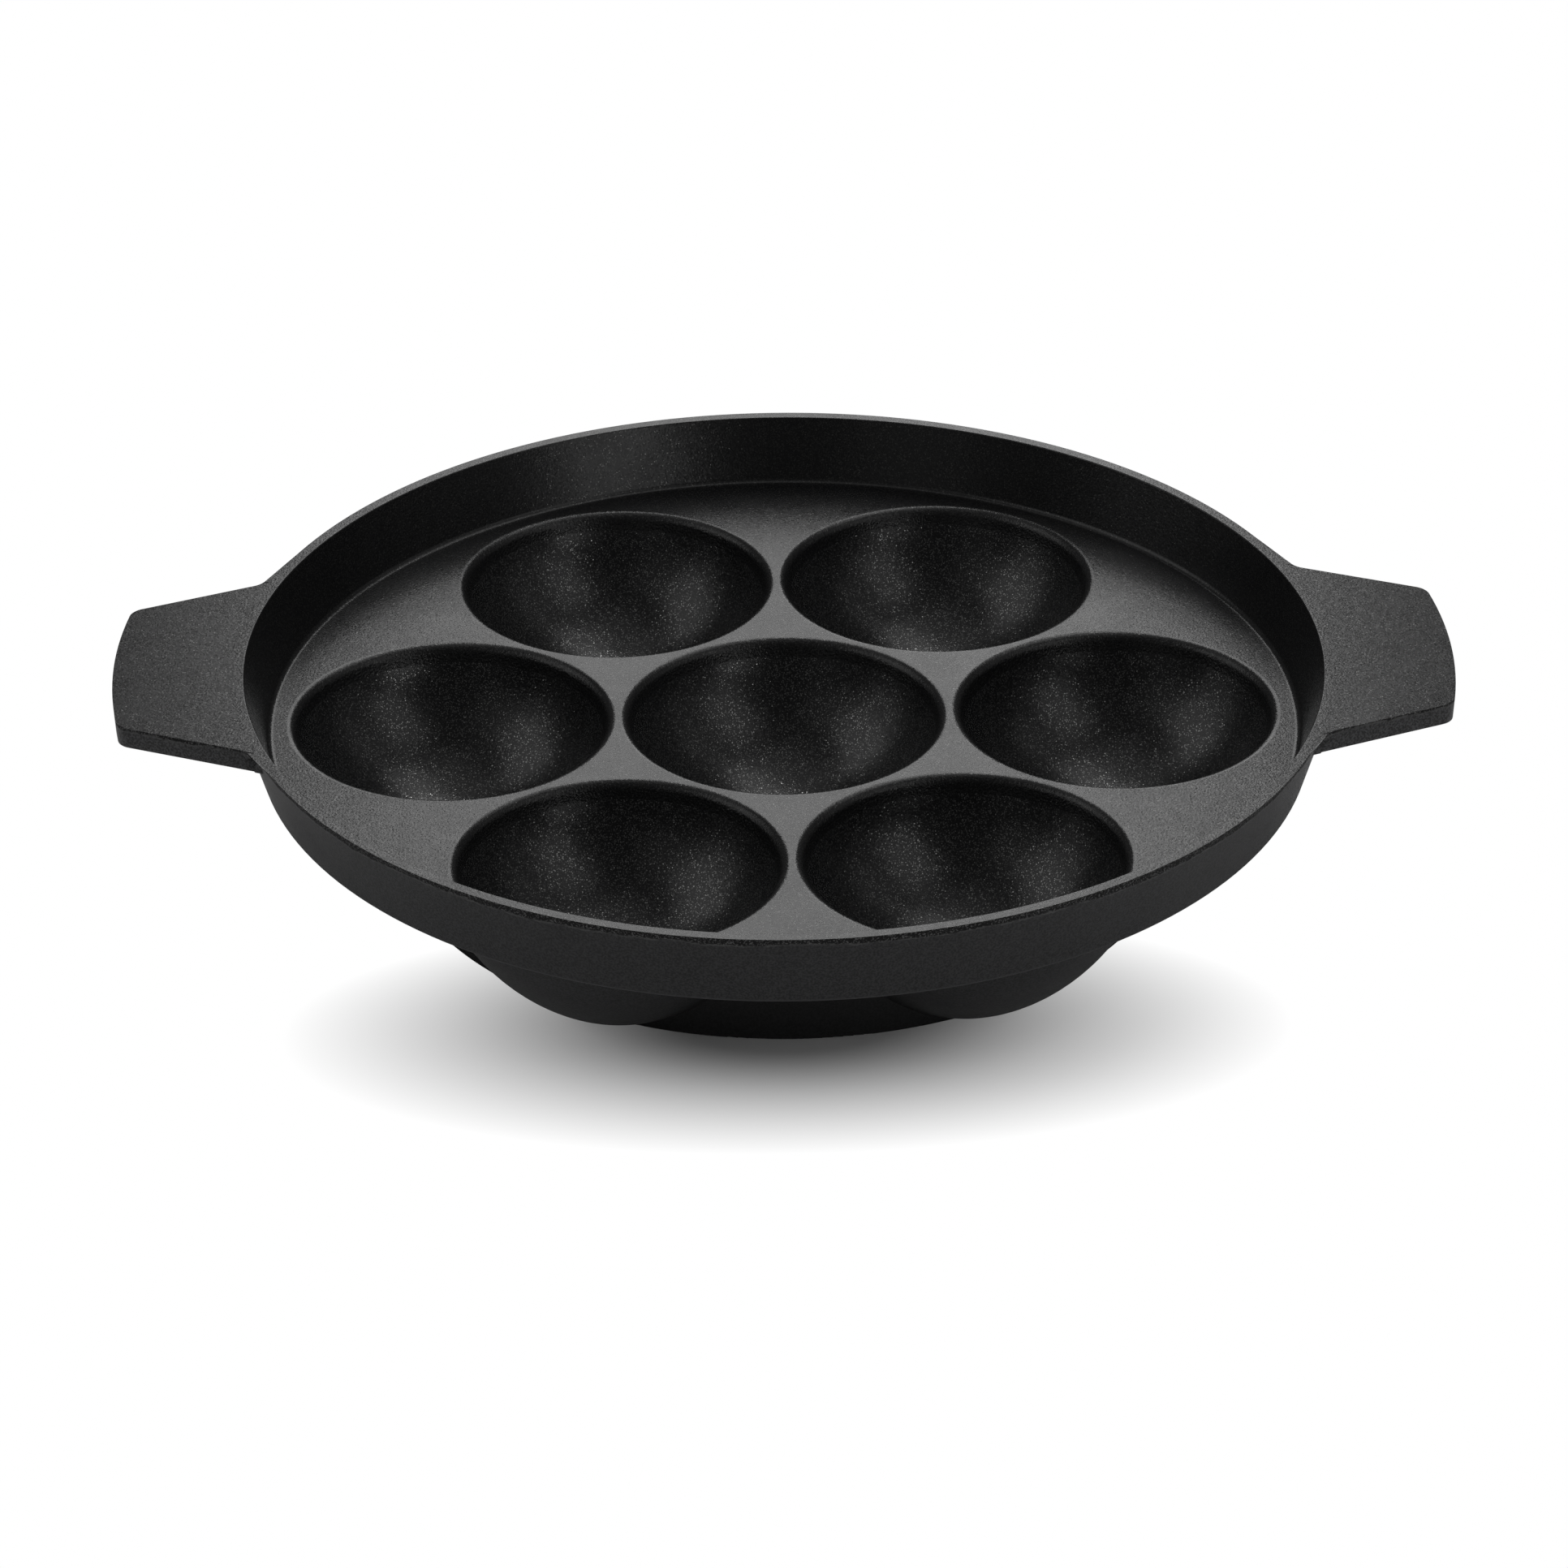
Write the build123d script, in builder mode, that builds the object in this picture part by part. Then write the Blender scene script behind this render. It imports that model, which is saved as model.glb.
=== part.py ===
from build123d import *
import os
from math import asin, atan, atan2, cos, degrees, radians, sin, sqrt, tan

os.makedirs("parts", exist_ok=True)

# Aebleskiver pan with seven cups, cast in one and divided here at its features.
# It stands on z = 0, with the axis of the centre cup on Z and the handles along X.

# Cups
cup_pitch = 66.8  # from axis to axis, and from the centre cup to each outer cup
outer_cups = 6
web_width = 3.9  # metal between two mouths at the top of the deck, before the lips are rounded
cup_depth = 24.8  # from the top of the deck to the bottom of a cup
cup_floor = 3.5  # metal under a cup
lip_round = 2.0
bowl_root_wall = 3.8  # how far the outside of a bowl, under the deck, stands out from its mouth
bowl_bulge = 3.0  # how far the outside of a bowl swells from the straight line down to its pad
pad_radius = 13.8  # flat under each bowl

# Deck and wall
deck_thickness = 3.3
deck_margin = 0.2  # from the outermost bowl to the edge of the deck plate
corner_flange = 1.05  # flat strip of deck that belongs to the foot of the wall
corner_round = 1.2  # between wall and deck, inside the pan
dish_depth = 13.2  # from the rim down to the deck
wall_lean = 4.4  # how much wider the pan is inside at its rim than at its deck
foot_land = 1.9  # from the foot of the wall inside to its lower edge outside
rim_land = 2.3  # flat on top of the wall
outer_round = 0.8  # lower edge of the wall
rim_round = 0.3  # inner edge of the rim

# Foot ring
ring_offset = 11.4  # from the circle of cup axes to the outside of the ring, at the floor
ring_width = 4.0
ring_draft = 1.5  # degrees
ring_round = 0.4
foot_clearance = 0.05  # between a length of the ring and the bowls at its ends

# Handles
handle_reach = 23.7  # from the rim to the tip
handle_thickness = 4.4
handle_half_width = 34.8  # at the root corner
side_angle = 22.5  # degrees between the side of a handle and its middle line
handle_draft = 3.0  # degrees
tip_round = 4.0
root_round = 4.0
wing_height = 1.4  # how far the root corner stands out from the rim
wing_sweep = 7.7  # degrees of the rim from the root corner to the end of the wing
wing_lean = 15.0  # degrees, by which the face of a wing dives in under the rim

overrun = 2.0  # how far every cut runs past what it cuts
round_limit_share = 0.95  # part of the flat beside it that a round may take up

# Heights and radii that follow from them
deck_top = cup_floor + cup_depth
deck_under = deck_top - deck_thickness
rim_top = deck_top + dish_depth
mouth_radius = (cup_pitch - web_width) / 2
bowl_root_radius = mouth_radius + bowl_root_wall
deck_radius = cup_pitch + bowl_root_radius + deck_margin
wall_foot_inner = deck_radius + corner_flange
wall_foot_outer = wall_foot_inner + foot_land
rim_inner = wall_foot_inner + wall_lean
rim_radius = rim_inner + rim_land
outer_slope = (rim_radius - wall_foot_outer) / (rim_top - deck_under)
cup_step = 360 / outer_cups
ball_radius = (mouth_radius**2 + cup_depth**2) / (2 * cup_depth)
mouth_angle = degrees(asin((ball_radius - cup_depth) / ball_radius))
lip_limit = round_limit_share * web_width / 2 / tan(radians((90 - mouth_angle) / 2))


def bowl_outside(clearance):
    """Outside of a bowl, filled: a swelling side that comes down to a flat pad."""
    with BuildPart() as blank:
        with BuildSketch(Plane.XZ):
            with BuildLine():
                pad = Line((0, 0), (pad_radius + clearance, 0))
                root = (bowl_root_radius + clearance, deck_under)
                side = SagittaArc(pad @ 1, root, -bowl_bulge)
                Polyline(side @ 1, (0, deck_under), (0, 0))
            make_face()
        revolve(axis=Axis.Z)
    return blank.part


def cup_cavity():
    """Space in a cup: the cap of a ball, a rounded lip at the mouth, and a slab above the deck."""
    with BuildPart() as cavity:
        with BuildSketch(Plane.XZ) as half_section:
            with BuildLine():
                hollow = TangentArc((0, cup_floor), (mouth_radius, deck_top), tangent=(1, 0))
                above = deck_top + overrun
                side = mouth_radius + web_width / 2
                Polyline(hollow @ 1, (side, deck_top), (side, above), (0, above), (0, cup_floor))
            make_face()
            fillet(half_section.vertices().sort_by_distance(hollow @ 1)[0], min(lip_round, lip_limit))
        revolve(axis=Axis.Z)
    return cavity.part


bowl_blank = bowl_outside(0)
bowl_seat = bowl_outside(foot_clearance)
cavity_blank = cup_cavity()

# The wall flares outward and is thicker at its foot than at its rim.
wall_angle = degrees(atan(wall_lean / dish_depth))
corner_limit = round_limit_share * corner_flange / tan(radians((90 - wall_angle) / 2))
with BuildPart() as wall:
    with BuildSketch(Plane.XZ) as wall_section:
        with BuildLine():
            Polyline(
                (deck_radius, deck_under),
                (wall_foot_outer, deck_under),
                (rim_radius, rim_top),
                (rim_inner, rim_top),
                (wall_foot_inner, deck_top),
                (deck_radius, deck_top),
                close=True,
            )
        make_face()
        fillet(wall_section.vertices().sort_by_distance((wall_foot_outer, deck_under))[0], outer_round)
        fillet(wall_section.vertices().sort_by_distance((rim_inner, rim_top))[0], rim_round)
        inner_corner = wall_section.vertices().sort_by_distance((wall_foot_inner, deck_top))[0]
        fillet(inner_corner, min(corner_round, corner_limit))
    revolve(axis=Axis.Z)
wall.part.label = "rim_wall"
export_step(wall.part, "parts/rim_wall.step")

# The deck is a flat plate with seven mouths, whose rounded lips almost meet.
with BuildPart() as deck:
    with BuildSketch(Plane.XY.offset(deck_under)):
        Circle(deck_radius)
    extrude(amount=deck_thickness)
    add(cavity_blank, mode=Mode.SUBTRACT)
    with PolarLocations(cup_pitch, outer_cups):
        add(cavity_blank, mode=Mode.SUBTRACT)
deck.part.label = "deck_plate"
export_step(deck.part, "parts/deck_plate.step")


def make_bowl(name, radius, angle, first_neighbour, neighbours):
    """One bowl in its place, cut flat where it would run into the bowls beside it."""
    reach = cup_step * (neighbours - 1)
    with BuildPart() as bowl:
        with PolarLocations(radius, 1, start_angle=angle):
            add(bowl_blank)
            with PolarLocations(cup_pitch / 2, neighbours, first_neighbour, reach, endpoint=True):
                Box(
                    bowl_root_radius,
                    2 * bowl_root_radius,
                    deck_top,
                    align=(Align.MIN, Align.CENTER, Align.MIN),
                    mode=Mode.SUBTRACT,
                )
            add(cavity_blank, mode=Mode.SUBTRACT)
    bowl.part.label = name
    export_step(bowl.part, f"parts/{name}.step")


make_bowl("centre_cup", 0, 0, 0, outer_cups)
cup_names = ["right", "back_right", "back_left", "left", "front_left", "front_right"]
for index, place in enumerate(cup_names):
    make_bowl(f"{place}_cup", cup_pitch, cup_step * index, 180 - cup_step, 3)

# The foot ring runs through the outer bowls, so it shows as six lengths between them.
ring_radius = cup_pitch + ring_offset
ring_spread = deck_under * tan(radians(ring_draft))


def make_foot(name, angle):
    """The length of the foot ring from the bowl at this angle to the next one."""
    with BuildPart() as foot:
        with BuildSketch(Plane.XZ.rotated((0, 0, angle))) as ring_section:
            with BuildLine():
                Polyline(
                    (ring_radius - ring_width, 0),
                    (ring_radius, 0),
                    (ring_radius + ring_spread, deck_under),
                    (ring_radius - ring_width - ring_spread, deck_under),
                    close=True,
                )
            make_face()
            fillet(ring_section.vertices().group_by(Axis.Z)[0], ring_round)
        revolve(axis=Axis.Z, revolution_arc=cup_step)
        with PolarLocations(cup_pitch, 2, angle, cup_step, endpoint=True):
            add(bowl_seat, mode=Mode.SUBTRACT)
    foot.part.label = name
    export_step(foot.part, f"parts/{name}.step")


foot_names = ["right_back", "back", "left_back", "left_front", "front", "right_front"]
for index, place in enumerate(foot_names):
    make_foot(f"{place}_foot", cup_step * index)


def polar(radius, angle):
    """Point in plan at a radius and an angle in degrees."""
    return (radius * cos(radians(angle)), radius * sin(radians(angle)))


# A handle is a flat ear at rim height. A thin wing runs from each root corner along the rim.
tip_radius = rim_radius + handle_reach
root_radius = rim_radius + wing_height
root_angle = degrees(asin(handle_half_width / root_radius))
bed_radius = wall_foot_outer - overrun  # inside the wall, where the ear is cut off again
root_corner = Vector(*polar(root_radius, root_angle))
side_way = Vector(*polar(1, -side_angle))
side_dot = root_corner.dot(side_way)


def on_side(radius):
    """Point at this radius on the straight side of the ear, which runs on into the wall."""
    return root_corner + side_way * (sqrt(side_dot**2 + radius**2 - root_radius**2) - side_dot)


bed_corner = on_side(bed_radius)
tip_corner = on_side(tip_radius)
side_point = root_corner + side_way * root_round
side_point_angle = degrees(atan2(side_point.Y, side_point.X))
wing_end_angle = root_angle + wing_sweep

with BuildPart() as handle:
    with BuildSketch(Plane.XY.offset(rim_top)) as ear_outline:
        with BuildLine():
            Line(bed_corner, tip_corner)
            ThreePointArc(tip_corner, (tip_radius, 0), (tip_corner.X, -tip_corner.Y))
            Polyline((tip_corner.X, -tip_corner.Y), (bed_corner.X, -bed_corner.Y), bed_corner)
        make_face()
        fillet(ear_outline.vertices().sort_by(Axis.X)[-2:], tip_round)
    extrude(amount=-handle_thickness, taper=handle_draft)
    with BuildSketch(Plane.XY.offset(rim_top)) as wing_outline:
        with BuildLine():
            Polyline(
                side_point,
                root_corner,
                polar(rim_radius, wing_end_angle),
                polar(bed_radius, wing_end_angle),
                polar(bed_radius, side_point_angle),
                close=True,
            )
        make_face()
        fillet(wing_outline.vertices().sort_by_distance(root_corner)[0], root_round)
        mirror(about=Plane.XZ)
    extrude(amount=-handle_thickness, taper=wing_lean)
    with BuildSketch(Plane.XZ):
        with BuildLine():
            low = rim_top - handle_thickness - overrun
            high = rim_top + overrun
            low_radius = rim_radius + (low - rim_top) * outer_slope
            high_radius = rim_radius + (high - rim_top) * outer_slope
            Polyline((0, low), (low_radius, low), (high_radius, high), (0, high), close=True)
        make_face()
    revolve(axis=Axis.Z, mode=Mode.SUBTRACT)
handle.part.label = "right_handle"
export_step(handle.part, "parts/right_handle.step")

with BuildPart() as left_handle:
    add(handle.part)
    mirror(about=Plane.YZ, mode=Mode.REPLACE)
left_handle.part.label = "left_handle"
export_step(left_handle.part, "parts/left_handle.step")
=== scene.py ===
from math import acos, asin, cos, pi, radians, sin, sqrt

import bmesh
import bpy
from bpy.props import FloatProperty, FloatVectorProperty, IntProperty, PointerProperty
from mathutils import Matrix, Vector


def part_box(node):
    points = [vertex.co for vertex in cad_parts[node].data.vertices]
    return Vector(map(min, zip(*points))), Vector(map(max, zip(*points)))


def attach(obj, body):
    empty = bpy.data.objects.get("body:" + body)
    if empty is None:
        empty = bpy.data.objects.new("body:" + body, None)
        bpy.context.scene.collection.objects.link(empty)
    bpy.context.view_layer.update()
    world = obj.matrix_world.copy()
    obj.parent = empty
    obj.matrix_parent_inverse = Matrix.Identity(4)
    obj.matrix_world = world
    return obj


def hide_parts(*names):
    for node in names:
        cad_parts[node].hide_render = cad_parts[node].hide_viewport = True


bl_info = {
    "name": "Aebleskiver pan",
    "version": (1, 0, 0),
    "blender": (4, 5, 0),
    "location": "3D View > Sidebar > Pan",
    "description": "Dresses the cast aebleskiver pan: wall, deck, cups, feet, handles and their coatings",
    "category": "Object",
}

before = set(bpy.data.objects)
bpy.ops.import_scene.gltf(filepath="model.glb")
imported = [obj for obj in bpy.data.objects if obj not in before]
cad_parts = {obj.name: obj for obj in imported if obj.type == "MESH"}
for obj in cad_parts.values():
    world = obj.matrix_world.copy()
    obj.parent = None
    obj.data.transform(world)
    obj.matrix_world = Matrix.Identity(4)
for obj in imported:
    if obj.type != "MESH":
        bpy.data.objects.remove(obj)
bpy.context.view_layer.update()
WALL_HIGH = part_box("rim_wall")[1]
DECK_LOW, DECK_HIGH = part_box("deck_plate")
MM = 0.001
CUPS = ("right_cup", "back_right_cup", "back_left_cup", "left_cup", "front_left_cup", "front_right_cup")
FEET = ("right_back_foot", "back_foot", "left_back_foot", "left_front_foot", "front_foot", "right_front_foot")
CUP_STEP = pi / 3  # from one outer cup to the next
MERGE = 0.001 * MM  # vertices closer than this become one
ON_PLANE = 0.0001 * MM  # vertices closer than this to a cut lie on it
ON_RING = 0.005 * MM  # vertices closer than this to a circle lie on it

# The camera, fitted to the rim and the mouths in the photograph.
CAMERA_HEIGHT = radians(29.5954)
CAMERA_SIDE = radians(-1.3959)
CAMERA_ROLL = radians(-0.35032)
CAMERA_DISTANCE = 1275.316 * MM
CAMERA_SHIFT = -0.1071 * MM  # of the point that it looks at, to the right
CAMERA_AIM = 12.17 * MM  # height of that point
CAMERA_LENS = 144.847

LAMP_DISTANCE = 1.3
LAMP_CENTRE = Vector((0, 0, 30 * MM))  # which every lamp faces
SURROUND_STRENGTH = 0.094
FLOOR_RADIUS = 6.0
# The soft shadow on the floor, in front of the pan and, mirrored, behind it: its middle, how far it reaches
# each way, up to which share of that it is whole, and how it fades from there.
SHADOW_MIDDLE = (-1.5 * MM, 73.9 * MM, 0)
SHADOW_REACH = (97.3 * MM, 44.6 * MM, 1)
SHADOW_CORE = 0.19
SHADOW_FALL = 1.38


def colour(code):
    """Linear red, green, blue and alpha of an sRGB hex colour."""
    shares = [int(code[place:place + 2], 16) / 255 for place in (1, 3, 5)]
    return [s / 12.92 if s <= 0.04045 else ((s + 0.055) / 1.055) ** 2.4 for s in shares] + [1.0]


class PanSizes(bpy.types.PropertyGroup):
    """Sizes of the pan, all taken from its CAD model."""

    cup_pitch: FloatProperty(
        name="Cup pitch",
        description="From the axis of the centre cup to the axis of each outer cup",
        default=66.8 * MM,
        unit="LENGTH",
    )
    mouth_radius: FloatProperty(
        name="Mouth radius",
        description="Radius of a cup where its ball meets the top of the deck",
        default=31.45 * MM,
        unit="LENGTH",
    )
    cup_floor: FloatProperty(
        name="Cup floor",
        description="Metal under a cup",
        default=3.5 * MM,
        unit="LENGTH",
    )
    lip_round: FloatProperty(
        name="Lip round",
        description="Radius of the lip of each mouth",
        default=2.0 * MM,
        unit="LENGTH",
    )
    bowl_root: FloatProperty(
        name="Bowl root",
        description="Radius of the outside of a bowl under the deck",
        default=35.25 * MM,
        unit="LENGTH",
    )
    bowl_bulge: FloatProperty(
        name="Bowl bulge",
        description="How far the outside of a bowl swells from the straight line to its pad",
        default=3.0 * MM,
        unit="LENGTH",
    )
    pad_radius: FloatProperty(
        name="Pad radius",
        description="Flat under each bowl",
        default=13.8 * MM,
        unit="LENGTH",
    )
    deck_under: FloatProperty(
        name="Underside of the deck",
        description="Height of the underside of the deck",
        default=DECK_LOW[2],
        unit="LENGTH",
    )
    deck_top: FloatProperty(
        name="Top of the deck",
        description="Height of the flat that the cups are sunk in",
        default=DECK_HIGH[2],
        unit="LENGTH",
    )
    deck_radius: FloatProperty(
        name="Deck radius",
        description="Where the deck meets the foot of the wall",
        default=DECK_HIGH[0],
        unit="LENGTH",
    )
    wall_foot_inner: FloatProperty(
        name="Foot of the wall inside",
        description="Radius of the corner between deck and wall, before it is rounded",
        default=103.3 * MM,
        unit="LENGTH",
    )
    wall_foot_outer: FloatProperty(
        name="Foot of the wall outside",
        description="Radius of the lower edge of the wall, before it is rounded",
        default=105.2 * MM,
        unit="LENGTH",
    )
    rim_inner: FloatProperty(
        name="Rim inside",
        description="Inner radius of the rim",
        default=107.7 * MM,
        unit="LENGTH",
    )
    rim_radius: FloatProperty(
        name="Rim radius",
        description="Outer radius of the rim",
        default=WALL_HIGH[0],
        unit="LENGTH",
    )
    rim_top: FloatProperty(
        name="Rim height",
        description="Height of the rim above the floor",
        default=WALL_HIGH[2],
        unit="LENGTH",
    )
    corner_round: FloatProperty(
        name="Corner round",
        description="Radius between wall and deck",
        default=1.2 * MM,
        unit="LENGTH",
    )
    outer_round: FloatProperty(
        name="Lower edge round",
        description="Radius of the lower edge of the wall",
        default=0.8 * MM,
        unit="LENGTH",
    )
    rim_round: FloatProperty(
        name="Rim round",
        description="Radius of the inner edge of the rim",
        default=0.3 * MM,
        unit="LENGTH",
    )
    edge_break: FloatProperty(
        name="Broken edge",
        description="Radius that tumbling and the coating leave on the free edges of the handles",
        default=0.2 * MM,
        unit="LENGTH",
    )
    handle_half_width: FloatProperty(
        name="Half width of a handle",
        description="From the middle line of a handle to its root corner",
        default=34.8 * MM,
        unit="LENGTH",
    )
    side_angle: FloatProperty(
        name="Side of a handle",
        description="Angle between the side of a handle and its middle line",
        default=radians(22.5),
        unit="ROTATION",
    )
    wing_height: FloatProperty(
        name="Height of the wings",
        description="How far the root corner stands out from the rim",
        default=1.4 * MM,
        unit="LENGTH",
    )
    wing_lip: FloatProperty(
        name="Lip of the wings",
        description="Thickness of a wing where it runs out along the rim",
        default=1.4 * MM,
        unit="LENGTH",
    )
    turns: IntProperty(
        name="Steps around",
        description="Divisions of a full turn",
        default=192,
        min=48,
        max=384,
    )


class PanColours(bpy.types.PropertyGroup):
    """Colours of the coating with its flecks, the paint and the floor."""

    coating: FloatVectorProperty(
        name="Non-stick coating",
        description="Body colour of the coating inside the pan",
        default=colour("#0d0d0e"),
        size=4,
        subtype="COLOR",
        min=0,
        max=1,
    )
    flecks: FloatVectorProperty(
        name="Flecks",
        description="Fine pale flecks in the coating of the cups",
        default=colour("#757574"),
        size=4,
        subtype="COLOR",
        min=0,
        max=1,
    )
    flat_flecks: FloatVectorProperty(
        name="Flecks on the flats",
        description="Duller flecks in the coating of the deck, the wall and the handles",
        default=colour("#464645"),
        size=4,
        subtype="COLOR",
        min=0,
        max=1,
    )
    paint: FloatVectorProperty(
        name="Outer paint",
        description="Heat-proof paint on the outside of the pan",
        default=colour("#222223"),
        size=4,
        subtype="COLOR",
        min=0,
        max=1,
    )
    floor: FloatVectorProperty(
        name="Floor",
        description="White studio floor",
        default=colour("#f2f2f2"),
        size=4,
        subtype="COLOR",
        min=0,
        max=1,
    )


def add(tree, kind, settings=None, inputs=None):
    """Adds a node. Inputs are values, or sockets of other nodes to link from."""
    made = tree.nodes.new(kind)
    for key, value in (settings or {}).items():
        setattr(made, key, value)
    for key, value in (inputs or {}).items():
        if isinstance(value, bpy.types.NodeSocket):
            tree.links.new(value, made.inputs[key])
        else:
            made.inputs[key].default_value = value
    return made


def noise(tree, place, size, detail):
    """Noise with grains of about this size."""
    return add(tree, "ShaderNodeTexNoise", {}, {"Vector": place, "Scale": 1 / size, "Detail": detail}).outputs["Fac"]


def ramp(tree, value, start, end, low=0.0, high=1.0):
    """Carries a value that runs from start to end over to one that runs from low to high."""
    limits = {"Value": value, "From Min": start, "From Max": end, "To Min": low, "To Max": high}
    return add(tree, "ShaderNodeMapRange", {}, limits).outputs["Result"]


def soft_step(tree, value, start, end):
    """Goes softly from 0 to 1 where a value runs from start to end."""
    limits = {"Value": value, "From Min": start, "From Max": end}
    return add(tree, "ShaderNodeMapRange", {"interpolation_type": "SMOOTHSTEP"}, limits).outputs["Result"]


def maths(tree, operation, *values):
    """One sum with numbers."""
    return add(tree, "ShaderNodeMath", {"operation": operation}, dict(enumerate(values))).outputs[0]


def vector_maths(tree, operation, *values):
    """One sum with vectors."""
    return add(tree, "ShaderNodeVectorMath", {"operation": operation}, dict(enumerate(values))).outputs["Vector"]


def mixed(tree, factor, first, second, blend="MIX"):
    """The first colour where the factor is 0, going over to the second one, blended this way, where it is 1."""
    settings = {"data_type": "RGBA", "blend_type": blend}
    return add(tree, "ShaderNodeMix", settings, {"Factor": factor, "A": first, "B": second}).outputs["Result"]


def new_material(name):
    """An empty node material and its tree, or the one already made under this name."""
    material = bpy.data.materials.get(name) or bpy.data.materials.new(name)
    material.use_nodes = True
    material.node_tree.nodes.clear()
    return material, material.node_tree


def flecks(tree, place, size):
    """Mica flecks of one size: how strongly each place glints, and which way its fleck is tilted."""
    cells = add(tree, "ShaderNodeTexVoronoi", {"feature": "F1"}, {"Vector": place, "Scale": 1 / size})
    dice = add(tree, "ShaderNodeTexWhiteNoise", {}, {"Vector": cells.outputs["Position"]})
    # One cell in ten has no fleck, most have a faint one and few a strong one.
    strength = maths(tree, "POWER", ramp(tree, dice.outputs["Value"], 0.1, 1.0), 1.5)
    dot = soft_step(tree, cells.outputs["Distance"], 0.5, 0.3)
    tilt = vector_maths(tree, "SUBTRACT", cells.outputs["Color"], (0.5, 0.5, 0.5))
    return maths(tree, "MULTIPLY", strength, dot), tilt


def tilted(tree, normal, tilt, amount):
    """A normal that leans by the tilt of the fleck under it."""
    push = add(tree, "ShaderNodeVectorMath", {"operation": "SCALE"}, {0: tilt, "Scale": amount})
    return vector_maths(tree, "NORMALIZE", vector_maths(tree, "ADD", normal, push.outputs["Vector"]))


def nonstick_coating(name, colours, mirror, fleck_size, fleck_rough, fleck_lean, rise, lip_rise):
    """PTFE coating with mica flecks, sprayed on cast aluminium and baked.

    To the eye: satin black with a fine grain all over, and pale flecks that glint one by one where a lamp shows.
    The flecks in the cups are bright, sharp and lean far, and those on the flats are dull. The grain has its own
    height on each part, and is coarser on the lips of the mouths, where the spray ran thin.
    """
    grit_size, film_size = 0.45 * MM, 9 * MM
    lip_start, lip_end = DECK_HIGH[2] - 0.5 * MM, DECK_HIGH[2] - 0.1 * MM
    material, tree = new_material(name)
    place = add(tree, "ShaderNodeTexCoord").outputs["Object"]
    glint, tilt = flecks(tree, place, fleck_size)
    grain = noise(tree, place, grit_size, 1.0)
    film = noise(tree, place, film_size, 3.0)
    tint = mixed(tree, glint, list(colours.coating), list(mirror))
    satin = ramp(tree, film, 0.3, 0.7, 0.27, 0.32)
    rough = ramp(tree, glint, 0.0, 1.0, satin, fleck_rough)
    lean = ramp(tree, glint, 0.0, 1.0, 0.05, fleck_lean)
    spot = add(tree, "ShaderNodeSeparateXYZ", {}, {"Vector": place})
    coarser = ramp(tree, spot.outputs["Z"], lip_start, lip_end, lip_rise / rise, 1.0)
    height = maths(tree, "MULTIPLY", coarser, rise)
    bump = add(tree, "ShaderNodeBump", {}, {"Strength": 1.0, "Distance": height, "Height": grain})
    normal = tilted(tree, bump.outputs["Normal"], tilt, lean)
    # PTFE has an IOR of 1.35. The flecks, mica in an oxide skin, mirror like a dim metal.
    shader = add(tree, "ShaderNodeBsdfPrincipled", {},
                 {"Base Color": tint, "Metallic": glint, "Roughness": rough, "IOR": 1.35, "Normal": normal})
    add(tree, "ShaderNodeOutputMaterial", {}, {"Surface": shader.outputs["BSDF"]})
    return material


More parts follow.
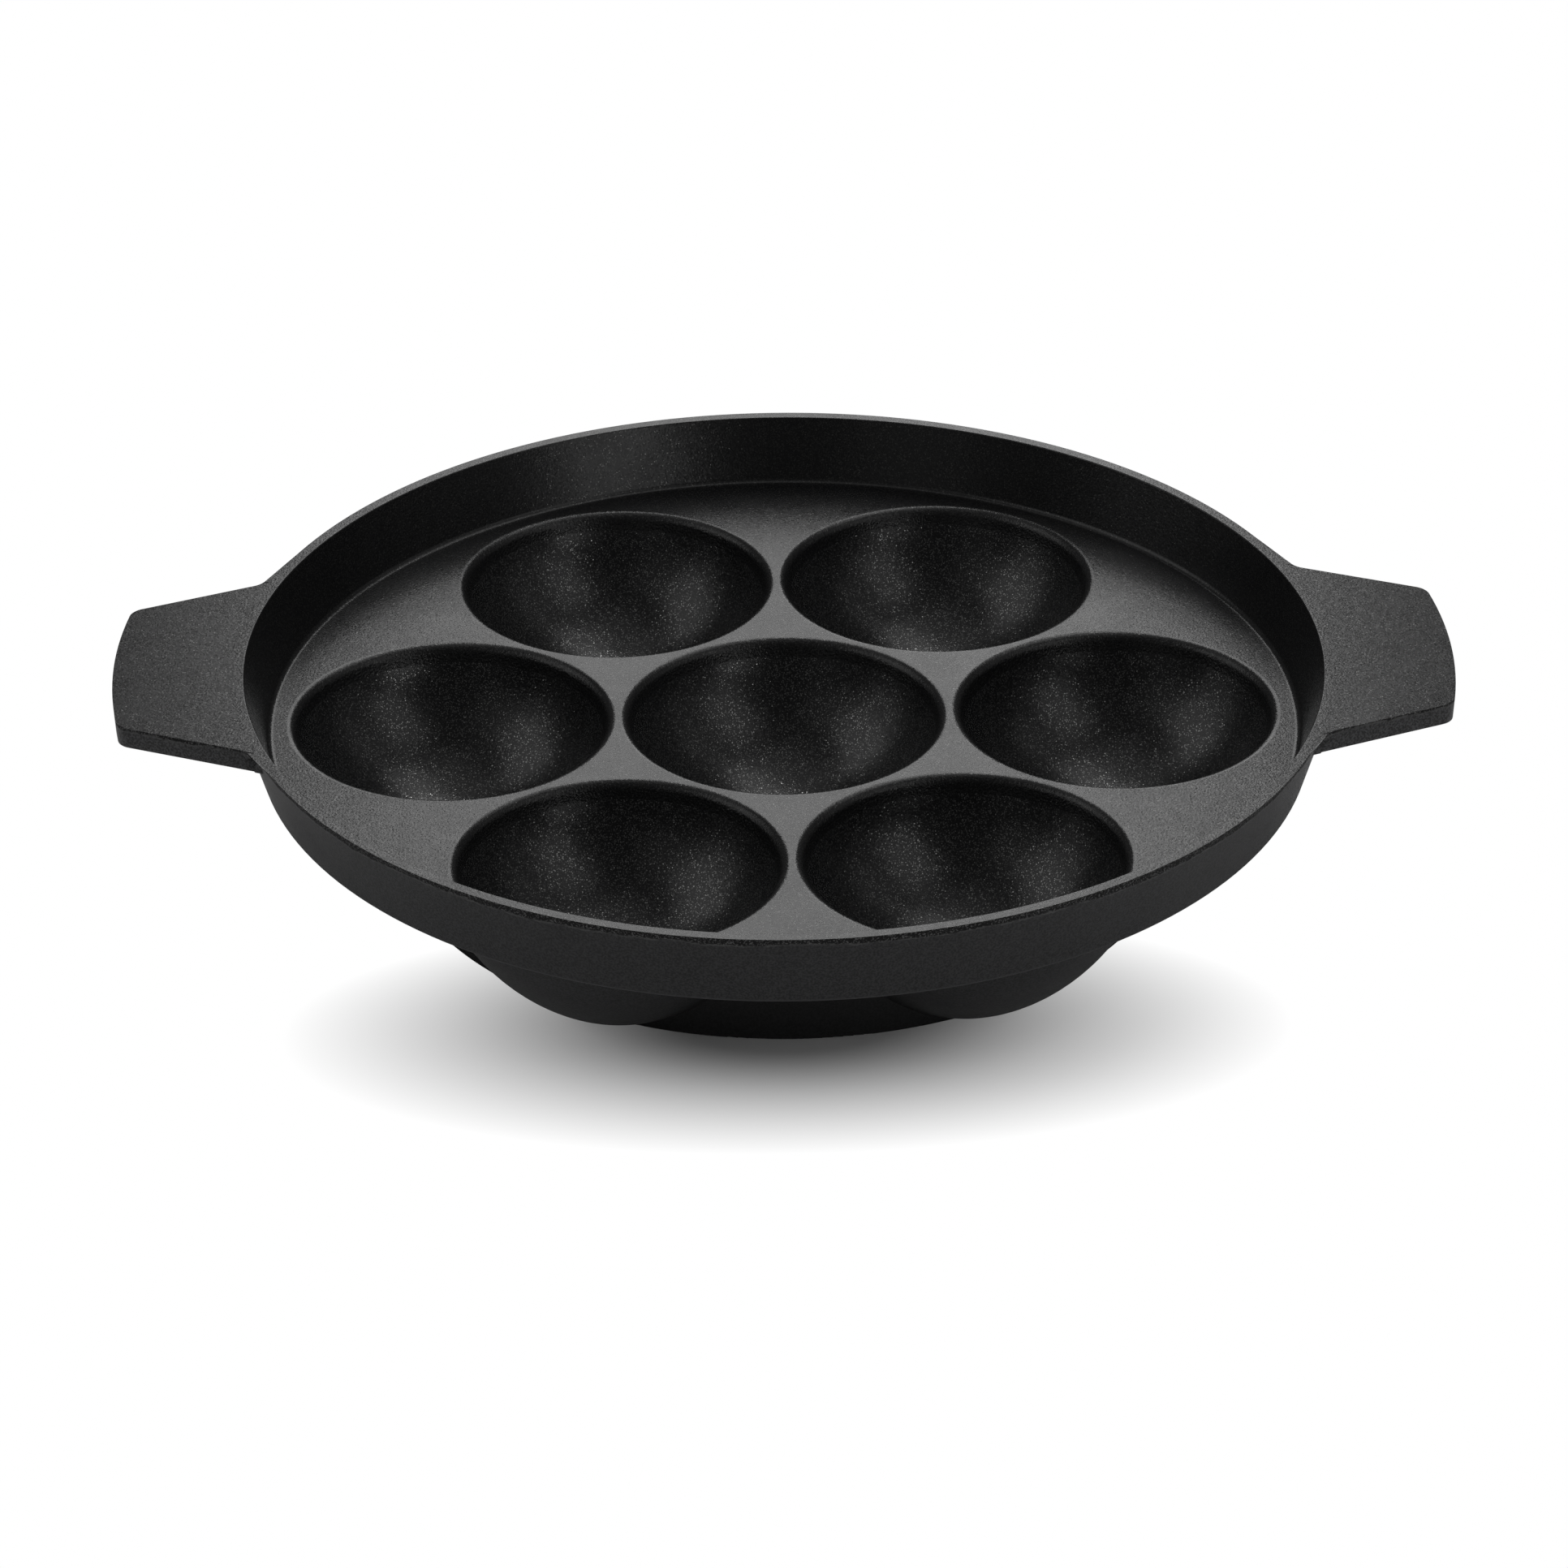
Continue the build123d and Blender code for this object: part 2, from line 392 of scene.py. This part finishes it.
def outer_paint(name, colours, sizes, lap, grit, tone):
    """Silicone paint, sprayed thin on the outside of the casting and baked.

    To the eye: even dark grey, finer than the inside, coarser where grit is more than 1 and darker where tone is
    less than 1. About as high as lap, the inner coating's overspray begins, a rough, darker band with an uneven
    lower edge, along which a painted highlight in paler grey shows in places. A thin painted highlight also runs
    along the rounded lower edge of the wall.
    """
    wander_size, wander_height = 16 * MM, 3.0 * MM
    ragged_size, ragged_height = 0.7 * MM, 0.8 * MM
    crest_length, grit_size, speck_size, film_size = 2.5 * MM, 0.4 * MM, 0.35 * MM, 12 * MM
    material, tree = new_material(name)
    place = add(tree, "ShaderNodeTexCoord").outputs["Object"]
    height = add(tree, "ShaderNodeSeparateXYZ", {}, {"Vector": place}).outputs["Z"]
    # The lower edge of the overspray wanders slowly and is ragged, and along its crest a painted highlight shows in
    # places.
    slow = maths(tree, "MULTIPLY_ADD", noise(tree, place, wander_size, 4.0), wander_height, height)
    edge = maths(tree, "MULTIPLY_ADD", noise(tree, place, ragged_size, 2.0), ragged_height, slow)
    band = soft_step(tree, edge, lap + 1.7 * MM, lap + 2.2 * MM)
    crest = soft_step(tree, edge, lap + 1.4 * MM, lap + 1.8 * MM)
    painted_crest_highlight = maths(tree, "MULTIPLY", crest, ramp(tree, noise(tree, place, crest_length, 2.0), 0.35, 0.6))
    # The paint itself, with its fine grit.
    grain = noise(tree, place, grit_size, 2.0)
    film = noise(tree, place, film_size, 3.0)
    shade = ramp(tree, grain, 0.4, 0.6, 0.4 * tone / grit, 1.7 * tone * grit)
    toned = mixed(tree, 1.0, list(colours.paint), shade, "MULTIPLY")
    # Painted highlight: the crest of the overspray's edge is mixed towards a paler grey.
    with_painted_crest_highlight = mixed(tree, painted_crest_highlight, toned, colour("#444444"))
    # A painted highlight: a thin paler line along the rounded lower edge of the wall, where the round catches light.
    below = soft_step(tree, height, sizes.deck_under - 0.1 * MM, sizes.deck_under + 0.1 * MM)
    above = soft_step(tree, height, sizes.deck_under + 0.9 * MM, sizes.deck_under + 0.4 * MM)
    with_painted_edge_highlight = mixed(tree, maths(tree, "MULTIPLY", below, above), with_painted_crest_highlight, colour("#333334"))
    # The overspray is near black with pale crumbs.
    crumb = ramp(tree, noise(tree, place, speck_size, 1.0), 0.52, 0.66)
    crumbs = mixed(tree, crumb, colour("#040404"), colour("#565656"))
    tint = mixed(tree, band, with_painted_edge_highlight, crumbs)
    baked = ramp(tree, film, 0.3, 0.7, 0.44, 0.5)
    rough = ramp(tree, band, 0.0, 1.0, baked, 0.9)
    strength = ramp(tree, band, 0.0, 1.0, 0.5 * grit, 1.0)
    bump = add(tree, "ShaderNodeBump", {}, {"Strength": strength, "Distance": 0.06 * MM, "Height": grain})
    # Silicone resin has an IOR of 1.41.
    shader = add(tree, "ShaderNodeBsdfPrincipled", {},
                 {"Base Color": tint, "Roughness": rough, "IOR": 1.41, "Normal": bump.outputs["Normal"]})
    add(tree, "ShaderNodeOutputMaterial", {}, {"Surface": shader.outputs["BSDF"]})
    return material


def coatings(context, where):
    """The coating of the inside and the paint of the outside for one part of the pan, each made once."""
    sizes, colours = context.scene.pan_sizes, context.scene.pan_colours
    # Brightness, size, roughness and lean of the flecks, and height of the grain, off the lips and on them.
    flats = (colours.flat_flecks, 0.34 * MM, 0.22, 0.15, 0.037 * MM, 0.111 * MM)
    inner = {
        "cups": ("sprayed_nonstick_coating_cups", (colours.flecks, 0.3 * MM, 0.12, 0.27, 0.03 * MM, 0.03 * MM)),
        "handles": ("sprayed_nonstick_coating_handles", flats[:4] + (0.022 * MM, 0.066 * MM)),
    }
    # How far under the rim the overspray begins, grit and tone.
    outer = {
        "handles": ("baked_silicone_paint_handles", 0.8 * MM, 1.8, 1.0),
        # The foot ring is drawn darker, at a third of the paint's tone, so that it shows near black under the deck.
        "feet": ("baked_silicone_paint_feet", 0, 1.0, 0.3),
    }
    name, recipe = inner.get(where, ("sprayed_nonstick_coating_flats", flats))
    inside = bpy.data.materials.get(name) or nonstick_coating(name, colours, *recipe)
    name, depth, grit, tone = outer.get(where, ("baked_silicone_paint_wall", 1.6 * MM, 1.0, 1.0))
    outside = bpy.data.materials.get(name) or outer_paint(name, colours, sizes, sizes.rim_top - depth, grit, tone)
    return inside, outside


def sweep(bm, start, centre, angle, steps):
    """Draws an arc in the XZ plane from a vertex about a centre, and returns the vertex at its far end."""
    made = bmesh.ops.spin(bm, geom=[start], cent=centre, axis=(0, 1, 0), angle=angle, steps=steps,
                          use_duplicate=False)
    return [item for item in made["geom_last"] if isinstance(item, bmesh.types.BMVert)][0]


def line(bm, start, place):
    """Draws a straight edge from a vertex to a place, and returns its far vertex."""
    end = bm.verts.new(place)
    bm.edges.new((start, end))
    return end


def turn(bm, edges, centre, steps):
    """Turns a profile once around an upright axis and merges its seam and its poles."""
    bmesh.ops.spin(bm, geom=edges, cent=centre, axis=(0, 0, 1), angle=2 * pi, steps=steps, use_merge=True,
                   use_duplicate=False)
    bmesh.ops.remove_doubles(bm, verts=bm.verts, dist=MERGE)


def ring_edges(bm, centre, radius, height):
    """Edges that lie on a level circle."""
    def on_circle(vert):
        across = sqrt((vert.co.x - centre[0]) ** 2 + (vert.co.y - centre[1]) ** 2)
        return abs(across - radius) < ON_RING and abs(vert.co.z - height) < ON_RING
    return [edge for edge in bm.edges if all(on_circle(vert) for vert in edge.verts)]


def finish_piece(bm, name, nodes, materials, inside):
    """Makes a mesh object of the bmesh, with the inside or the outside coating on each face."""
    bmesh.ops.recalc_face_normals(bm, faces=bm.faces)
    for face in bm.faces:
        face.smooth = True
        face.material_index = 0 if inside(face) else 1
    mesh = bpy.data.meshes.new(name)
    bm.to_mesh(mesh)
    bm.free()
    for material in materials:
        mesh.materials.append(material)
    piece = bpy.data.objects.new(name, mesh)
    bpy.context.scene.collection.objects.link(piece)
    flats = piece.modifiers.new("Flats stay flat", "WEIGHTED_NORMAL")
    flats.mode = "FACE_AREA"
    flats.weight = 60
    flats.keep_sharp = True
    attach(piece, "root")
    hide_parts(*nodes)


def sharpen(bm, angle):
    """Marks the edges where two faces meet at more than this angle, so that they stay crisp."""
    for edge in bm.edges:
        edge.smooth = not (edge.is_manifold and edge.calc_face_angle(0) > angle)


def outer_slope(sizes):
    """How much wider the wall gets outside for each length that it rises."""
    return (sizes.rim_radius - sizes.wall_foot_outer) / (sizes.rim_top - sizes.deck_under)


def ball(sizes):
    """Radius and centre height of the ball that a cup is the cap of."""
    depth = sizes.deck_top - sizes.cup_floor
    radius = (sizes.mouth_radius ** 2 + depth ** 2) / (2 * depth)
    return radius, sizes.cup_floor + radius


def cup_place(sizes, index):
    """Centre of an outer cup in plan, counted from the right-hand one."""
    angle = index * CUP_STEP
    return Vector((sizes.cup_pitch * cos(angle), sizes.cup_pitch * sin(angle), 0))


class PAN_OT_wall(bpy.types.Operator):
    """Make the flared wall with its flat rim"""

    bl_idname = "pan.wall"
    bl_label = "Wall"

    def execute(self, context):
        sizes = context.scene.pan_sizes
        bm = bmesh.new()
        corners = (
            (sizes.deck_radius, sizes.deck_under),
            (sizes.wall_foot_outer, sizes.deck_under),
            (sizes.rim_radius, sizes.rim_top),
            (sizes.rim_inner, sizes.rim_top),
            (sizes.wall_foot_inner, sizes.deck_top),
            (sizes.deck_radius, sizes.deck_top),
        )
        verts = [bm.verts.new((radius, 0, height)) for radius, height in corners]
        edges = [bm.edges.new((verts[place - 1], verts[place])) for place in range(len(verts))]
        turn(bm, verts + edges, (0, 0, 0), sizes.turns)
        rounds = ((1, sizes.outer_round, 6), (3, sizes.rim_round, 4), (4, sizes.corner_round, 8))
        for corner, radius, steps in rounds:
            before, here, after = (Vector(corners[(corner + step) % len(corners)]) for step in (-1, 0, 1))
            opening = (before - here).angle(after - here)
            ring = ring_edges(bm, (0, 0), *corners[corner])
            bmesh.ops.bevel(bm, geom=ring, offset=radius * cos(opening / 2) / sin(opening / 2), offset_type="OFFSET",
                            segments=steps, profile=0.5, affect="EDGES", material=-1, clamp_overlap=True)
        slope = outer_slope(sizes)

        def inside(face):
            middle = face.calc_center_median()
            across = sqrt(middle.x ** 2 + middle.y ** 2)
            outer = sizes.rim_radius - (sizes.rim_top - middle.z) * slope
            return middle.z > sizes.deck_under + 1 * MM and across < outer - 0.1 * MM

        sharpen(bm, radians(40))
        finish_piece(bm, "wall", ["rim_wall"], coatings(context, "wall"), inside)
        return {"FINISHED"}


class PAN_OT_deck(bpy.types.Operator):
    """Make the flat deck with the rounded lips of its mouths"""

    bl_idname = "pan.deck"
    bl_label = "Deck"

    def execute(self, context):
        sizes = context.scene.pan_sizes
        radius, middle = ball(sizes)
        lip_height = sizes.deck_top - sizes.lip_round
        lip_across = sqrt((radius + sizes.lip_round) ** 2 - (middle - lip_height) ** 2)
        lip_turn = acos((middle - lip_height) / (radius + sizes.lip_round))
        seam_turn = acos((middle - sizes.deck_under) / radius)
        land = 0.08 * MM  # flat ring around each lip, which keeps its shading smooth
        bm = bmesh.new()
        places = [Vector((0, 0, 0))] + [cup_place(sizes, index) for index in range(len(CUPS))]
        for place in places:
            known = set(bm.edges)
            first = bm.verts.new(place + Vector((lip_across + land, 0, sizes.deck_top)))
            lip = line(bm, first, place + Vector((lip_across, 0, sizes.deck_top)))
            below = sweep(bm, lip, place + Vector((lip_across, 0, lip_height)), -lip_turn, 8)
            sweep(bm, below, place + Vector((0, 0, middle)), lip_turn - seam_turn, 3)
            profile = [edge for edge in bm.edges if edge not in known]
            rim = list({vert for edge in profile for vert in edge.verts})
            turn(bm, rim + profile, place, sizes.turns)
        seam_across = radius * sin(seam_turn)
        for height, across in ((sizes.deck_top, lip_across + land), (sizes.deck_under, seam_across)):
            bmesh.ops.create_circle(bm, cap_ends=False, segments=sizes.turns, radius=sizes.deck_radius,
                                    matrix=Matrix.Translation((0, 0, height)))
            loops = ring_edges(bm, (0, 0), sizes.deck_radius, height)
            for place in places:
                loops += ring_edges(bm, place, across, height)
            bmesh.ops.triangle_fill(bm, edges=loops, use_beauty=True, normal=(0, 0, 1))
        upper = ring_edges(bm, (0, 0), sizes.deck_radius, sizes.deck_top)
        lower = ring_edges(bm, (0, 0), sizes.deck_radius, sizes.deck_under)
        bmesh.ops.bridge_loops(bm, edges=upper + lower)

        def inside(face):
            return face.calc_center_median().z > sizes.deck_under + 0.01 * MM

        sharpen(bm, radians(40))
        finish_piece(bm, "deck", ["deck_plate"], coatings(context, "deck"), inside)
        return {"FINISHED"}


class PAN_OT_cups(bpy.types.Operator):
    """Make the bowls that hang under the deck"""

    bl_idname = "pan.cups"
    bl_label = "Cups"

    def execute(self, context):
        sizes = context.scene.pan_sizes
        around = [index * CUP_STEP for index in range(len(CUPS))]
        self.make(context, sizes, "centre_cup", Vector((0, 0, 0)), around)
        for index, name in enumerate(CUPS):
            inward = around[index] + pi
            self.make(context, sizes, name, cup_place(sizes, index), [inward - CUP_STEP, inward, inward + CUP_STEP])
        return {"FINISHED"}

    def make(self, context, sizes, name, place, neighbours):
        """One bowl, cut flat halfway to each neighbour. Neighbours are given by their directions."""
        radius, middle = ball(sizes)
        seam_turn = acos((middle - sizes.deck_under) / radius)
        root = Vector((sizes.bowl_root, 0, sizes.deck_under))
        pad = Vector((sizes.pad_radius, 0, 0))
        chord = root - pad
        side_radius = (chord.length_squared / 4 + sizes.bowl_bulge ** 2) / (2 * sizes.bowl_bulge)
        across = Vector((-chord.z, 0, chord.x)).normalized()
        centre = (root + pad) / 2 + across * (side_radius - sizes.bowl_bulge)
        side_turn = 2 * asin(chord.length / 2 / side_radius)
        bm = bmesh.new()
        bottom = bm.verts.new((0, 0, sizes.cup_floor))
        seam = sweep(bm, bottom, (0, 0, middle), -seam_turn, 24)
        outer = line(bm, seam, root)
        low = sweep(bm, outer, centre, side_turn, 16)
        line(bm, low, (0, 0, 0))
        turn(bm, list(bm.verts) + list(bm.edges), (0, 0, 0), sizes.turns)
        half = sizes.cup_pitch / 2
        for angle in neighbours:
            way = Vector((cos(angle), sin(angle), 0))
            cut = bmesh.ops.bisect_plane(bm, geom=list(bm.verts) + list(bm.edges) + list(bm.faces), dist=ON_PLANE,
                                         plane_co=way * half, plane_no=way, clear_outer=True)
            rim = [item for item in cut["geom_cut"] if isinstance(item, bmesh.types.BMEdge)]
            bmesh.ops.contextual_create(bm, geom=rim)
        bmesh.ops.translate(bm, verts=bm.verts, vec=place)

        def inside(face):
            spot = face.calc_center_median() - place - Vector((0, 0, middle))
            return abs(spot.length - radius) < 0.3 * MM

        sharpen(bm, radians(30))
        finish_piece(bm, name.replace("_cup", "_bowl"), [name], coatings(context, "cups"), inside)


def merged(name):
    """The mesh of a CAD node with its loose triangles joined into faces."""
    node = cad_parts[name]
    bm = bmesh.new()
    bm.from_mesh(node.data)
    bmesh.ops.transform(bm, matrix=node.matrix_world, verts=bm.verts)
    bmesh.ops.remove_doubles(bm, verts=bm.verts, dist=MERGE)
    bmesh.ops.dissolve_limit(bm, angle_limit=radians(0.05), verts=bm.verts, edges=bm.edges)
    return bm


def thin_wings(bm, sizes, slope):
    """Thins the wings, outside the straight sides of the ear, to a lip under the rim.

    The underside steps up between two cuts along each side of the ear, and its inner edge dives into the wall.
    """
    cuts, step, dive = (0.1 * MM, 0.4 * MM), 0.35 * MM, 0.3 * MM
    root_radius = sizes.rim_radius + sizes.wing_height
    corner = Vector((sqrt(root_radius ** 2 - sizes.handle_half_width ** 2), sizes.handle_half_width, 0))
    out = Vector((sin(sizes.side_angle), cos(sizes.side_angle), 0))
    for left in (-1, 1):
        for front in (-1, 1):
            flip = Vector((left, front, 1))
            for across in cuts:
                bmesh.ops.bisect_plane(bm, geom=list(bm.verts) + list(bm.edges) + list(bm.faces), dist=ON_PLANE,
                                       plane_co=(corner + out * across) * flip, plane_no=out * flip)
    low = sizes.rim_top - sizes.wing_lip
    wall = sizes.rim_radius - sizes.wing_lip * slope - dive
    for vert in bm.verts:
        beyond = (Vector((abs(vert.co.x), abs(vert.co.y), 0)) - corner).dot(out)
        if beyond > step and vert.co.z < low:
            shrink = min(1, wall / sqrt(vert.co.x ** 2 + vert.co.y ** 2))
            vert.co = (vert.co.x * shrink, vert.co.y * shrink, low)
    bmesh.ops.triangulate(bm, faces=[face for face in bm.faces if len(face.verts) > 4])


def break_edges(bm, sizes, free):
    """Rounds the sharp edges that lie free, as the coating does on the real casting."""
    def sharp(edge):
        return edge.is_manifold and edge.calc_face_angle() > radians(35)
    edges = [edge for edge in bm.edges if sharp(edge) and all(free(vert.co) for vert in edge.verts)]
    bmesh.ops.bevel(bm, geom=edges, offset=sizes.edge_break, offset_type="OFFSET", segments=3, profile=0.5,
                    affect="EDGES", material=-1, clamp_overlap=True)


class PAN_OT_handles(bpy.types.Operator):
    """Make the two ears and their wings along the rim"""

    bl_idname = "pan.handles"
    bl_label = "Handles"

    def execute(self, context):
        sizes = context.scene.pan_sizes
        slope = outer_slope(sizes)
        seat = 1.2 * MM  # edges this close to the wall are where the ear sits on it
        top = 0.2 * MM  # the inner coating reaches this far down from the rim

        def free(place):
            wall = sizes.rim_radius - (sizes.rim_top - place.z) * slope
            return sqrt(place.x ** 2 + place.y ** 2) > wall + seat

        for side in ("left", "right"):
            bm = merged(f"{side}_handle")
            break_edges(bm, sizes, free)
            thin_wings(bm, sizes, slope)
            sharpen(bm, radians(50))
            finish_piece(bm, f"{side}_ear", [f"{side}_handle"], coatings(context, "handles"),
                         lambda face: face.calc_center_median().z > sizes.rim_top - top)
        return {"FINISHED"}


class PAN_OT_feet(bpy.types.Operator):
    """Make the lengths of the foot ring"""

    bl_idname = "pan.feet"
    bl_label = "Foot ring"

    def execute(self, context):
        sizes = context.scene.pan_sizes
        for name in FEET:
            bm = merged(name)
            sharpen(bm, radians(35))
            finish_piece(bm, name.replace("_foot", "_ring"), [name], coatings(context, "feet"),
                         lambda face: False)
        return {"FINISHED"}


class PAN_OT_stage(bpy.types.Operator):
    """Set up the white floor, the soft lamps and the camera"""

    bl_idname = "pan.stage"
    bl_label = "Stage"

    def execute(self, context):
        context.scene.view_settings.view_transform = "Standard"
        self.camera(context)
        self.floor(context)
        self.surround(context)
        self.lamps(context)
        return {"FINISHED"}

    def camera(self, context):
        """A long lens from the front, 29.6 degrees up, a little to the left of the middle and hardly rolled."""
        out, high = cos(CAMERA_HEIGHT), sin(CAMERA_HEIGHT)
        right = Vector((cos(CAMERA_SIDE), sin(CAMERA_SIDE), 0))
        back = Vector((sin(CAMERA_SIDE) * out, -cos(CAMERA_SIDE) * out, high))
        up = back.cross(right)
        aim = right * CAMERA_SHIFT + Vector((0, 0, CAMERA_AIM))
        data = bpy.data.cameras.new("camera")
        data.sensor_width = 36
        data.lens = CAMERA_LENS
        data.clip_start = 0.05
        camera = bpy.data.objects.new("camera", data)
        context.scene.collection.objects.link(camera)
        place = Matrix.Translation(aim + back * CAMERA_DISTANCE)
        turned = Matrix((right, up, back)).transposed().to_4x4()
        camera.matrix_world = place @ turned @ Matrix.Rotation(CAMERA_ROLL, 4, "Z")
        context.scene.camera = camera

    def floor(self, context):
        """A wide white floor. To the camera it goes over to plain white around the pan's shadows."""
        material, tree = new_material("white_studio_floor")
        place = add(tree, "ShaderNodeTexCoord").outputs["Object"]
        spot = add(tree, "ShaderNodeSeparateXYZ", {}, {"Vector": place})
        either_way = maths(tree, "ABSOLUTE", spot.outputs["Y"])
        folded = add(tree, "ShaderNodeCombineXYZ", {}, {"X": spot.outputs["X"], "Y": either_way})
        moved = vector_maths(tree, "SUBTRACT", folded.outputs["Vector"], SHADOW_MIDDLE)
        scaled = vector_maths(tree, "DIVIDE", moved, SHADOW_REACH)
        away = add(tree, "ShaderNodeVectorMath", {"operation": "LENGTH"}, {0: scaled})
        white = maths(tree, "POWER", ramp(tree, away.outputs["Value"], SHADOW_CORE, 1.0), SHADOW_FALL)
        path = add(tree, "ShaderNodeLightPath")
        share = maths(tree, "MULTIPLY", white, path.outputs["Is Camera Ray"])
        matt = add(tree, "ShaderNodeBsdfDiffuse", {}, {"Color": list(context.scene.pan_colours.floor)})
        glow = add(tree, "ShaderNodeEmission", {}, {"Color": (1, 1, 1, 1), "Strength": 1.0})
        both = add(tree, "ShaderNodeMixShader", {}, {"Fac": share, 1: matt.outputs[0], 2: glow.outputs[0]})
        add(tree, "ShaderNodeOutputMaterial", {}, {"Surface": both.outputs[0]})
        bm = bmesh.new()
        bmesh.ops.create_circle(bm, cap_ends=True, segments=96, radius=FLOOR_RADIUS)
        mesh = bpy.data.meshes.new("floor")
        bm.to_mesh(mesh)
        bm.free()
        mesh.materials.append(material)
        floor = bpy.data.objects.new("floor", mesh)
        context.scene.collection.objects.link(floor)

    def surround(self, context):
        """White where the camera looks past the floor, and dim for everything else."""
        # No bare metal or glass is on the pan, so glossy rays keep to the dim surround.
        world = bpy.data.worlds.new("surround")
        context.scene.world = world
        world.use_nodes = True
        tree = world.node_tree
        tree.nodes.clear()
        path = add(tree, "ShaderNodeLightPath")
        dim = add(tree, "ShaderNodeBackground", {}, {"Color": (1, 1, 1, 1), "Strength": SURROUND_STRENGTH})
        white = add(tree, "ShaderNodeBackground", {}, {"Color": (1, 1, 1, 1), "Strength": 1.0})
        pick = add(tree, "ShaderNodeMixShader", {},
                   {"Fac": path.outputs["Is Camera Ray"], 1: dim.outputs[0], 2: white.outputs[0]})
        add(tree, "ShaderNodeOutputWorld", {}, {"Surface": pick.outputs[0]})

    def lamps(self, context):
        """Soft boxes all around: those behind show in the deck, and the others in the cups and on the lips.

        Each has its direction, in degrees around from the back towards the right and up from the floor, its width
        and height in metres, and its power in watts.
        """
        boxes = (
            ("low_back_strip_left", -4.3, 19, 0.12, 0.36, 0.35),
            ("low_back_strip", 1.3, 19, 0.12, 0.36, 0.26),
            ("low_back_strip_right", 6.9, 19, 0.12, 0.36, 0.49),
            ("back_strip_left", -5.2, 35, 0.12, 0.36, 0.61),
            ("back_strip", 1.3, 35, 0.12, 0.36, 0.22),
            ("back_strip_right", 7.8, 35, 0.12, 0.36, 0.6),
            ("high_back_strip_left", -7.1, 51, 0.12, 0.36, 0.18),
            ("high_back_strip", 1.3, 51, 0.12, 0.36, 1.2),
            ("high_back_strip_right", 17.5, 51, 0.12, 0.36, 0.82),
            ("high_left_back_box", -40, 62, 0.5, 0.5, 0.34),
            ("high_right_back_box", 46, 62, 0.6, 0.6, 1.75),
            ("left_box", -85, 40, 1.1, 0.7, 2.86),
            ("low_left_box", -85, 14, 0.9, 0.44, 0.72),
            ("left_front_box", -135, 42, 0.7, 0.7, 0.39),
            ("low_left_front_box", -150, 8, 0.6, 0.3, 0.21),
            ("low_right_front_box", 145, 8, 0.6, 0.3, 1.52),
            ("right_front_box", 124, 42, 0.7, 1.0, 2.18),
            ("right_box", 80, 36, 0.6, 0.64, 0.42),
            ("low_right_box", 90, 14, 0.9, 0.36, 0.21),
            ("overhead_box", 0, 88, 0.7, 0.7, 0.69),
        )
        for name, turned, height, width, tall, watts in boxes:
            data = bpy.data.lights.new(name, "AREA")
            data.shape = "RECTANGLE"
            data.size = width
            data.size_y = tall
            data.energy = watts
            lamp = bpy.data.objects.new(name, data)
            context.scene.collection.objects.link(lamp)
            around, above = radians(turned), radians(height)
            way = Vector((sin(around) * cos(above), cos(around) * cos(above), sin(above)))
            lamp.location = way * LAMP_DISTANCE + LAMP_CENTRE
            lamp.rotation_euler = way.to_track_quat("Z", "Y").to_euler()


class PAN_PT_panel(bpy.types.Panel):
    """Lists the pieces of the pan and its sizes and colours"""

    bl_label = "Aebleskiver pan"
    bl_idname = "PAN_PT_panel"
    bl_space_type = "VIEW_3D"
    bl_region_type = "UI"
    bl_category = "Pan"

    def draw(self, context):
        layout = self.layout
        for operator in OPERATORS:
            layout.operator(operator.bl_idname)
        for group in (context.scene.pan_sizes, context.scene.pan_colours):
            column = layout.column()
            for name in group.__annotations__:
                column.prop(group, name)


GROUPS = (PanSizes, PanColours)
OPERATORS = (PAN_OT_wall, PAN_OT_deck, PAN_OT_cups, PAN_OT_handles, PAN_OT_feet, PAN_OT_stage)


def register():
    for item in GROUPS + OPERATORS + (PAN_PT_panel,):
        bpy.utils.register_class(item)
    bpy.types.Scene.pan_sizes = PointerProperty(type=PanSizes)
    bpy.types.Scene.pan_colours = PointerProperty(type=PanColours)


def unregister():
    del bpy.types.Scene.pan_sizes
    del bpy.types.Scene.pan_colours
    for item in reversed(GROUPS + OPERATORS + (PAN_PT_panel,)):
        bpy.utils.unregister_class(item)


def main():
    """Makes every piece and the stage."""
    register()
    bpy.ops.pan.wall()
    bpy.ops.pan.deck()
    bpy.ops.pan.cups()
    bpy.ops.pan.handles()
    bpy.ops.pan.feet()
    bpy.ops.pan.stage()


if __name__ == "__main__":
    main()
